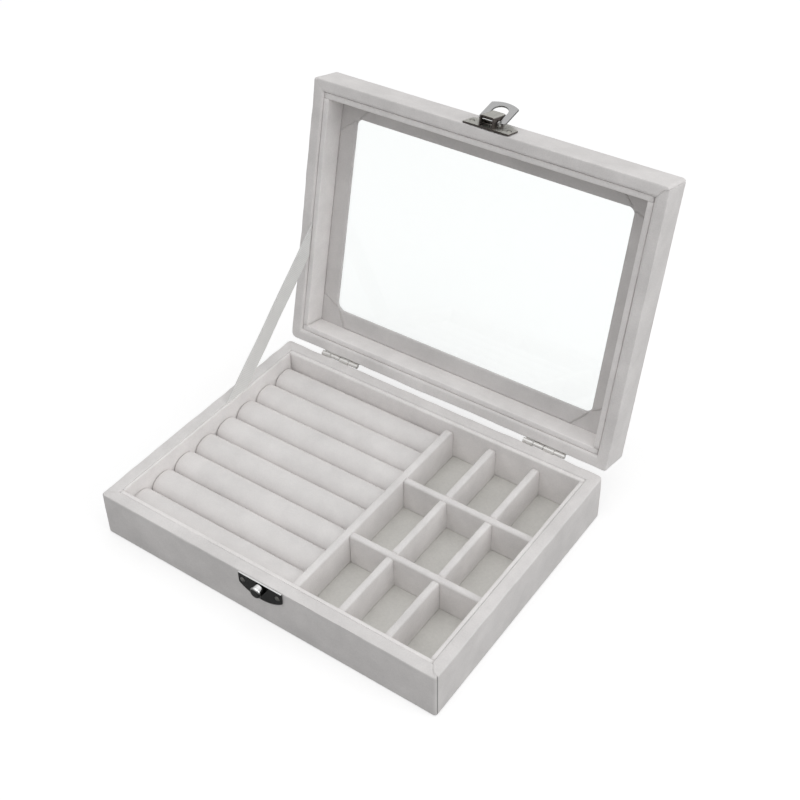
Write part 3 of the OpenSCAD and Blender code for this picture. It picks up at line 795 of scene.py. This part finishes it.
def place_board(node, turn, shut=False, upside_down=False):
    """Matrix that stands a board drawn along X where a node is, with its soft face inwards."""
    lo, hi = shut_box_mm(node) if shut else box_mm(node)
    centre = (lo + hi) / 2
    along = (hi - lo).x if turn % 180 == 0 else (hi - lo).y
    across = (hi - lo).y if turn % 180 == 0 else (hi - lo).x
    matrix = Matrix.Translation((centre.x, centre.y, hi.z if upside_down else lo.z))
    matrix = matrix @ Matrix.Rotation(math.radians(turn), 4, "Z")
    if upside_down:
        matrix = matrix @ Matrix.Scale(-1, 4, (0, 0, 1))
    matrix = matrix @ Matrix.Translation((-along / 2, 0, 0))
    if shut:
        matrix = to_open @ matrix
    return matrix, along, across, hi.z - lo.z


# How far the pile of the lid's strips reaches towards the wrap, across their groove
LID_STRIP_CLOSER = 0.4
LINER_EDGE_R = 0.9
LID_LINER_EDGE_R = 0.6
BOARD_CLEAR = 0.04


def liners():
    """Padded strips inside the rims: the soft edge faces into the box."""
    turns = {"front": 180, "back": 0, "left": 90, "right": 270}
    for seed, (side, turn) in enumerate(turns.items()):
        node = f"base_liner_{side}"
        matrix, along, across, height = place_board(node, turn)
        edge_r = min(LINER_EDGE_R, across / 2)
        piece = board(f"velvet_{node}", along, across - BOARD_CLEAR, lambda x: height, lambda x: 0.0,
                      edge_r, "liner", "base", matrix, seed=50 + seed, square_back=True)
        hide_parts(node)
        node = f"lid_liner_{side}"
        matrix, along, across, lid_height = place_board(node, turn, shut=True, upside_down=True)
        matrix = matrix @ Matrix.Translation((0, LID_STRIP_CLOSER / 2, 0))
        piece = board(f"velvet_{node}", along, across - BOARD_CLEAR + LID_STRIP_CLOSER,
                      lambda x: lid_height, lambda x: 0.0, LID_LINER_EDGE_R, "liner", "lid",
                      matrix, seed=60 + seed, ripple=0.08)
        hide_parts(node)


def end_round(x, length, height, radius):
    """Height of a board's top edge with both top corners rounded."""
    near = min(x, length - x)
    if near >= radius:
        return height
    return height - radius + math.sqrt(max(radius ** 2 - (radius - near) ** 2, 0))


COLUMN_END_R = 3.0
ROW_END_R = 1.0
NOTCH_R = 1.5
DIVIDER_EDGE_R = 1.1

# Extra places along a divider: shares of its end's radius, and distances from a notch
END_STOPS = (0.04, 0.12, 0.25, 0.4, 0.6, 0.8, 1)
NOTCH_STOPS = (0, 0.02, 0.1, 0.25, 0.5, 0.8, NOTCH_R)


def dividers():
    """Half-lapped boards: the columns are notched from above where the rows run through."""
    rows = ["row_divider_front", "row_divider_back"]
    columns = ["column_divider_left", "column_divider_right"]
    centres = {n: (box_mm(n)[0] + box_mm(n)[1]) / 2 for n in rows + columns}
    thick = box_mm(rows[0])[1].y - box_mm(rows[0])[0].y
    slot = thick / 2 + CLEAR
    for seed, node in enumerate(["centre_divider"] + rows + columns):
        turn = 0 if node in rows else 90
        matrix, along, across, height = place_board(node, turn)
        lo = box_mm(node)[0]
        if node in columns:
            crossings = [centres[r].y - lo.y for r in rows]
        elif node in rows:
            crossings = [centres[c].x - lo.x for c in columns]
        else:
            crossings = []
        end_r = ROW_END_R if node in rows else COLUMN_END_R

        def top(x, crossings=crossings, along=along, height=height, node=node, end_r=end_r):
            level = end_round(x, along, height, end_r)
            if node in columns:
                for c in crossings:
                    away = abs(x - c) - slot
                    if away <= 0:
                        return height / 2
                    if away < NOTCH_R:
                        drop = NOTCH_R - math.sqrt(NOTCH_R ** 2 - (NOTCH_R - away) ** 2)
                        level = min(level, height - drop)
            return level

        def bottom(x, crossings=crossings, height=height, node=node):
            if node in rows and any(abs(x - c) <= slot for c in crossings):
                return height / 2 + CLEAR
            return 0.0

        stops = [end_r * s for s in END_STOPS]
        stops += [along - s for s in stops]
        for c in crossings:
            for s in NOTCH_STOPS:
                stops += [c - slot - s, c + slot + s]
        piece = board(f"velvet_{node}", along, across - BOARD_CLEAR, top, bottom, DIVIDER_EDGE_R,
                      "divider", "base", matrix, stops=stops, seed=70 + seed, end_r=0.6)
        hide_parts(node)


FELT_STEP = 3.0
FELT_EDGE = (0.0, 0.15, 0.5, 1.2)
FELT_WAVE = 17

# The felt's edge sinks so far over the first width, and its waves fade out over the second
FELT_DROP = 0.3
FELT_EDGE_WIDTHS = (0.6, 4)


def slab(name, lo, hi, material, body, seed, rise):
    """Thin sheet of felt with soft edges, from its lowest to its highest corner."""
    def lines(low, high):
        inner = np.arange(low + FELT_STEP, high - FELT_STEP, FELT_STEP)
        return [*(low + e for e in FELT_EDGE), *inner, *(high - e for e in reversed(FELT_EDGE))]

    xs, ys = lines(lo.x, hi.x), lines(lo.y, hi.y)
    points = []
    for level in (lo.z, hi.z):
        for y in ys:
            for x in xs:
                inside = min(x - lo.x, hi.x - x, y - lo.y, hi.y - y)
                drop = FELT_DROP * max(0.0, 1 - inside / FELT_EDGE_WIDTHS[0]) ** 2
                bend = rise * wave((x, y, 0), FELT_WAVE, seed) * min(1.0, inside / FELT_EDGE_WIDTHS[1])
                z = level if level == lo.z else level - drop + bend
                points.append((x, y, z))
    return make_piece(name, points, sheet_faces(len(xs), len(ys)), material, body)


def linings():
    """Felt on the floor and under the base."""
    lo, hi = box_mm("floor_lining")
    hi = hi - Vector((0, 0, CLEAR))
    piece = slab("felt_floor_lining", lo, hi, "felt", "base", seed=5.0, rise=0.1)
    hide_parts("floor_lining")
    lo, hi = box_mm("bottom_felt")
    piece = slab("felt_underside", lo, hi, "underfelt", "base", seed=8.0, rise=0.0)
    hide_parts("bottom_felt")


# Ring rolls

ROLL_END_R = 1.3
ROLL_ENDS = (0, 0.08, 0.2, 0.45, 0.75, 1.05, 1.4, 2.6, 4.0)
ROLL_MIDDLE_FROM = 5.5
ROLL_MIDDLE_PLACES = 50

# The crown's first angle and sweep in degrees, its steps, and how square it is: 2 is round
ROLL_FIRST = -6
ROLL_SWEEP = 192
ROLL_STEPS = 40
ROLL_FULLNESS = 2.25

# What a roll's half width gains at its widest, and loses below that and at its foot
ROLL_PRESSED = 0.04
ROLL_WAIST = 0.9
ROLL_FOOT = 1.1

# Waves of the rolls, and how far their skin is drawn in
ROLL_BROAD = (0.10, 26)
ROLL_FINE = (0.05, 7)
ROLL_SINK = 0.05


def rolls():
    """Foam rolls under velvet: a full crown, pressed against the next, soft at both ends."""
    for number in range(1, 9):
        node = f"ring_roll_{number}"
        lo, hi = box_mm(node)
        length, width, height = hi - lo
        radius = width / 2 + ROLL_PRESSED
        centre_z = height - width / 2
        section = []
        for k in range(ROLL_STEPS + 1):
            angle = math.radians(ROLL_FIRST + ROLL_SWEEP * k / ROLL_STEPS)
            c, v = math.cos(angle), math.sin(angle)
            y = math.copysign(abs(c) ** (2 / ROLL_FULLNESS), c) * radius
            z = math.copysign(abs(v) ** (2 / ROLL_FULLNESS), v) * width / 2
            section.append((y, centre_z + z))
        section += [(-radius + ROLL_WAIST, centre_z / 2), (-radius + ROLL_FOOT, 0.0), (0, 0)]
        section += [(radius - ROLL_FOOT, 0.0), (radius - ROLL_WAIST, centre_z / 2)]
        middle = np.linspace(ROLL_MIDDLE_FROM, length - ROLL_MIDDLE_FROM, ROLL_MIDDLE_PLACES)
        places = [*ROLL_ENDS, *middle, *(length - e for e in reversed(ROLL_ENDS))]
        points, faces = [], []
        for x in places:
            near = max(0.0, min(x, length - x))
            drop = 0.0
            if near < ROLL_END_R:
                drop = ROLL_END_R - math.sqrt(ROLL_END_R ** 2 - (ROLL_END_R - near) ** 2)
            shrink = 1 - drop / radius
            for y, z in section:
                if z > centre_z:
                    z = centre_z + (z - centre_z) * shrink
                points.append((lo.x + x, (lo.y + hi.y) / 2 + y * shrink, lo.z + z))
        size = len(section)
        for k in range(len(places) - 1):
            for j in range(size):
                a, b = k * size + j, k * size + (j + 1) % size
                faces.append((a, b, b + size, a + size))
        faces.append(tuple(range(size)))
        end = (len(places) - 1) * size
        faces.append(tuple(end + j for j in reversed(range(size))))

        def rise(n, number=number, points=points, lo=lo, hi=hi):
            x, y, z = points[n]
            if z < lo.z + 3:
                return 0.0
            crown = (z - lo.z) / (hi.z - lo.z)
            broad = waves((x, y, z), ROLL_BROAD, 90 + number)
            fine = waves((x, y, z), ROLL_FINE, 99 + number)
            return crown * (broad + fine) - ROLL_SINK

        soft = lifted(points, faces, rise)
        piece = make_piece(f"velvet_{node}", soft, faces, "roll", "base")
        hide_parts(node)


# Window frame: a velvet ground with four flaps that are turned through the window

GROUND_CORNER_R = 0.4
GROUND_WAVE = (0.05, 9)


def bezel():
    """The frame's ground, which shows in its bare corners."""
    outer = (case_w - (bezel_hi.x - bezel_lo.x)) / 2
    corners = [(outer, ground_z, 0.1, 1), (window_margin, ground_z, 0.3, 1)]
    corners += [(window_margin, bezel_hi.z, 0, 0), (outer, bezel_hi.z, 0, 0)]
    outline = []
    for u, z, skin in subdivide(rounded(corners, 3), 2.5):
        share = min(1.0, max(0.0, (u - outer) / (window_margin - outer)))
        radius = GROUND_CORNER_R + (window_r - GROUND_CORNER_R) * share
        outline.append((u, z, (radius,) * 4, skin))

    def lift(point, skin):
        return skin * waves(point, GROUND_WAVE, 120)

    piece = frame_sweep("velvet_window_ground", outline, "bezel", "lid",
                        matrix=to_open, lift=lift)
    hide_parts("window_bezel")


# How much shorter than the window a flap is at each end, and its corner's rounding
FLAP_GAP = 0.4
FLAP_CORNER = 0.9

# The flap's soft edge: how far it sinks, over what width
FLAP_SINK = 0.15
FLAP_EDGE = 0.5
FLAP_WAVE = (0.03, 8)
FLAP_ROWS = 10
FLAP_COLUMNS = 64

# How far each flap's two ends slant inwards, first the end at its left as seen from inside
# the window when it is on top
FLAP_SLANTS = {"front": (10.0, 11.0), "right": (8.5, 4.5), "back": (5.3, 9.5), "left": (8.6, 6.6)}


def flaps():
    """Trapezoid flaps, widest at the window, whose slanted ends leave the corners bare."""
    half_w, half_d = case_w / 2 - window_margin, case_d / 2 - window_margin
    reach = window_margin - lid_liner_reach
    sides = [("front", half_w, half_d, 180), ("right", half_d, half_w, 270),
             ("back", half_w, half_d, 0), ("left", half_d, half_w, 90)]
    for seed, (name, along, out, turn) in enumerate(sides):
        points = []
        for level in (0, 1):
            for j in range(FLAP_ROWS + 1):
                v = j / FLAP_ROWS
                half = along - FLAP_GAP - FLAP_CORNER * (1 - v) ** 3
                ends = [half - slant * v for slant in FLAP_SLANTS[name]]
                for i in range(FLAP_COLUMNS + 1):
                    t = -1 + 2 * i / FLAP_COLUMNS
                    t = math.copysign(abs(t) ** 0.7, t)
                    x = ends[1] * t if t > 0 else ends[0] * t
                    y = out + reach * v + SNUG
                    edge = min((1 - abs(t)) * along, v * reach + 0.1)
                    soft = FLAP_SINK * max(0.0, 1 - edge / FLAP_EDGE) ** 2
                    low = ground_z + CLEAR
                    high = bezel_lo.z + soft + waves((x, y, 0), FLAP_WAVE, 130 + seed)
                    points.append((x, y, low if level == 0 else high))
        faces = sheet_faces(FLAP_COLUMNS + 1, FLAP_ROWS + 1)
        matrix = to_open @ Matrix.Rotation(math.radians(turn), 4, "Z")
        make_piece(f"velvet_window_flap_{name}", points, faces, "bezel", "lid", matrix)


# Ribbon stay

RIBBON_THICK = 0.4
RIBBON_COLUMNS = 14
RIBBON_STEPS = 70

# How much thicker the woven edge is on each side, over what width, and where it has lines
RIBBON_EDGE = (0.12, 0.6)
RIBBON_EDGE_LINES = (0.25, 0.8)
RIBBON_SLACK = 0.35

# How far the ribbon's head reaches into the lid's seam
RIBBON_IN_SEAM = 0.75


def ribbon():
    """Flat band stretched from seam to seam, with a thicker woven edge on both sides."""
    half = 5.5
    across = Vector((0, -ribbon_run.z, ribbon_run.y))
    start_tail = 12.0
    lines = [-half + 2 * half * i / RIBBON_COLUMNS for i in range(RIBBON_COLUMNS + 1)]
    for inside in RIBBON_EDGE_LINES:
        lines += [-half + inside, half - inside]
    lines = sorted(set(lines))
    limit = to_open @ Vector((0, RIBBON_HEAD_Y, lid_z + RIBBON_IN_SEAM))
    normal = (to_open.to_3x3() @ Vector((0, 0, 1))).normalized()
    middle = (ribbon_lo.x + ribbon_hi.x) / 2
    points = []
    for side in (-1, 1):
        for s in lines:
            foot = ribbon_foot - ribbon_run * start_tail + across * s
            end = (Vector((0, limit.y, limit.z)) - foot).dot(normal) / ribbon_run.dot(normal)
            edge = RIBBON_EDGE[0] if half - abs(s) < RIBBON_EDGE[1] else 0.0
            for k in range(RIBBON_STEPS + 1):
                t = k / RIBBON_STEPS
                p = foot + ribbon_run * end * t
                slack = RIBBON_SLACK * math.sin(math.pi * t) * wave((s * 0.3, t * 60, 0), 16, 140)
                x = middle + side * (RIBBON_THICK / 2 - 0.04 + edge) + slack
                points.append((x, p.y, p.z))
    faces = sheet_faces(RIBBON_STEPS + 1, len(lines))
    piece = make_piece("ribbon_band", points, faces, "ribbon", "base")
    piece.parent = None
    del piece["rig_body"]
    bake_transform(piece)
    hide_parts("ribbon_stay")


# Carried-over nodes: boards, glass and metal

FINISHES = {
    "window_glass": "glass", "hasp_spring": "steel", "catch_knob": "knob", "hasp_plate": "hasp",
    "hasp_nails": "nail", "hasp_pin": "hasp", "hasp_tongue": "tongue", "catch_plate": "catch",
    "catch_nails": "nail",
}
METAL_EDGE = 0.12
METAL_EDGE_ANGLE = 40


def dress_nodes():
    """Materials for the nodes that keep their solids, and soft edges on the metal but its pins."""
    for name, node in frame["nodes"].items():
        if node.hide_render:
            continue
        metal = name.startswith(("hinge", "hasp", "catch"))
        finish = FINISHES.get(name, "nickel" if metal else "board")
        node.data.materials.clear()
        node.data.materials.append(materials[finish])
        if metal and not name.endswith("pin"):
            soften = node.modifiers.new("soft_edges", "BEVEL")
            soften.width = METAL_EDGE * MM
            soften.segments = 2
            soften.limit_method = "ANGLE"
            soften.angle_limit = math.radians(METAL_EDGE_ANGLE)


# Stage, lamps and camera

# The floor's size and height in metres, its own shade, and its glow where it is seen
FLOOR_SIZE = 8
FLOOR_Z = -0.0002
FLOOR_SHADE = 0.5
FLOOR_GLOW = 0.62

# Light from the horizon and below, and what straight above has more
WORLD_LIGHT = 0.09
WORLD_ABOVE = 0.91


def plain_stage():
    """Pale floor and surroundings, near white where they are seen."""
    bpy.ops.mesh.primitive_plane_add(size=FLOOR_SIZE, location=(0, 0, FLOOR_Z))
    floor = bpy.context.object
    floor.name = "floor"
    material = bpy.data.materials.new("pale_floor")
    material.use_nodes = True
    tree = material.node_tree
    output = tree.nodes["Material Output"]
    tree.nodes.remove(tree.nodes["Principled BSDF"])
    matt = tree.nodes.new("ShaderNodeBsdfDiffuse")
    matt.inputs["Color"].default_value = (FLOOR_SHADE, FLOOR_SHADE, FLOOR_SHADE, 1)
    glow = tree.nodes.new("ShaderNodeEmission")
    glow.inputs["Color"].default_value = (1, 1, 1, 1)
    shine = maths(tree, "MULTIPLY", seen_directly(tree), FLOOR_GLOW)
    tree.links.new(shine, glow.inputs["Strength"])
    both = tree.nodes.new("ShaderNodeAddShader")
    tree.links.new(matt.outputs["BSDF"], both.inputs[0])
    tree.links.new(glow.outputs["Emission"], both.inputs[1])
    tree.links.new(both.outputs["Shader"], output.inputs["Surface"])
    floor.data.materials.append(material)

    world = bpy.data.worlds.new("studio")
    bpy.context.scene.world = world
    world.use_nodes = True
    tree = world.node_tree
    background = tree.nodes["Background"]
    background.inputs["Color"].default_value = (1, 1, 1, 1)
    direction = tree.nodes.new("ShaderNodeTexCoord")
    parts = tree.nodes.new("ShaderNodeSeparateXYZ")
    tree.links.new(direction.outputs["Generated"], parts.inputs["Vector"])
    sky = map_range(tree, parts.outputs["Z"], after=(WORLD_LIGHT, WORLD_LIGHT + WORLD_ABOVE))
    mix = tree.nodes.new("ShaderNodeMix")
    mix.data_type = "FLOAT"
    mix.inputs["B"].default_value = 1.0
    tree.links.new(seen_directly(tree), mix.inputs["Factor"])
    tree.links.new(sky, mix.inputs["A"])
    tree.links.new(mix.outputs["Result"], background.inputs["Strength"])


def seen_directly(tree):
    """1 for camera rays and rays through the glass, 0 for the rays that light the object."""
    rays = tree.nodes.new("ShaderNodeLightPath")
    seen = maths(tree, "ADD", rays.outputs["Is Camera Ray"], rays.outputs["Is Transmission Ray"])
    seen.node.use_clamp = True
    return seen


def softbox(name, place, size, power):
    """Rectangular lamp in metres and watts, turned towards the box."""
    lamp = bpy.data.lights.new(name, "AREA")
    lamp.shape = "RECTANGLE"
    lamp.size, lamp.size_y = size
    lamp.energy = power
    obj = bpy.data.objects.new(name, lamp)
    obj.location = place
    obj.rotation_euler = (LAMP_TARGET - Vector(place)).to_track_quat("-Z", "Y").to_euler()
    bpy.context.scene.collection.objects.link(obj)


# What the lamps aim at, then each one's place, size and power
LAMP_TARGET = Vector((0, 0, 0.05))
LAMPS = {
    "top": ((0.1, -0.25, 1.3), (1.2, 1.0), 1.4),
    "right": ((1.3, 0.1, 0.6), (1.0, 0.9), 4.9),
    "front": ((0.0, -1.3, 0.8), (1.0, 0.8), 0.75),
}


def lamps():
    for name, (place, size, power) in LAMPS.items():
        softbox(name + "_softbox", place, size, power)


# Camera fitted to the photograph: angles in degrees, lengths in millimetres, pixels of 800
CAMERA_AZIMUTH = 37.0014
CAMERA_ELEVATION = 39.1527
CAMERA_ROLL = -2.0266
CAMERA_DISTANCE = 522.363
CAMERA_TARGET = (46.9706, -38.1072, 145.9451)
FOCAL_PIXELS = 1297.006
CENTRE_PIXELS = (377.560, 371.757)
PICTURE = 800
SENSOR = 36


def camera():
    """The photograph's camera, with its slight roll and its picture centre."""
    az, el, roll = (math.radians(a) for a in (CAMERA_AZIMUTH, CAMERA_ELEVATION, CAMERA_ROLL))
    back = Vector((math.sin(az) * math.cos(el), -math.cos(az) * math.cos(el), math.sin(el)))
    level = (-back).cross(Vector((0, 0, 1))).normalized()
    upright = level.cross(-back)
    right = math.cos(roll) * level + math.sin(roll) * upright
    up = -math.sin(roll) * level + math.cos(roll) * upright
    data = bpy.data.cameras.new("camera")
    data.sensor_width = SENSOR
    data.lens = SENSOR * FOCAL_PIXELS / PICTURE
    data.shift_x = (PICTURE / 2 - CENTRE_PIXELS[0]) / PICTURE
    data.shift_y = (CENTRE_PIXELS[1] - PICTURE / 2) / PICTURE
    data.clip_start = 0.01
    data.clip_end = 50
    obj = bpy.data.objects.new("camera", data)
    turn = Matrix((right, up, back)).transposed().to_4x4()
    place = (Vector(CAMERA_TARGET) + back * CAMERA_DISTANCE) * MM
    obj.matrix_world = Matrix.Translation(place) @ turn
    bpy.context.scene.collection.objects.link(obj)
    bpy.context.scene.camera = obj


base_wrap()
lid_wrap()
liners()
dividers()
linings()
rolls()
bezel()
flaps()
ribbon()
dress_nodes()
plain_stage()
lamps()
camera()
bpy.context.scene.view_settings.view_transform = "Standard"
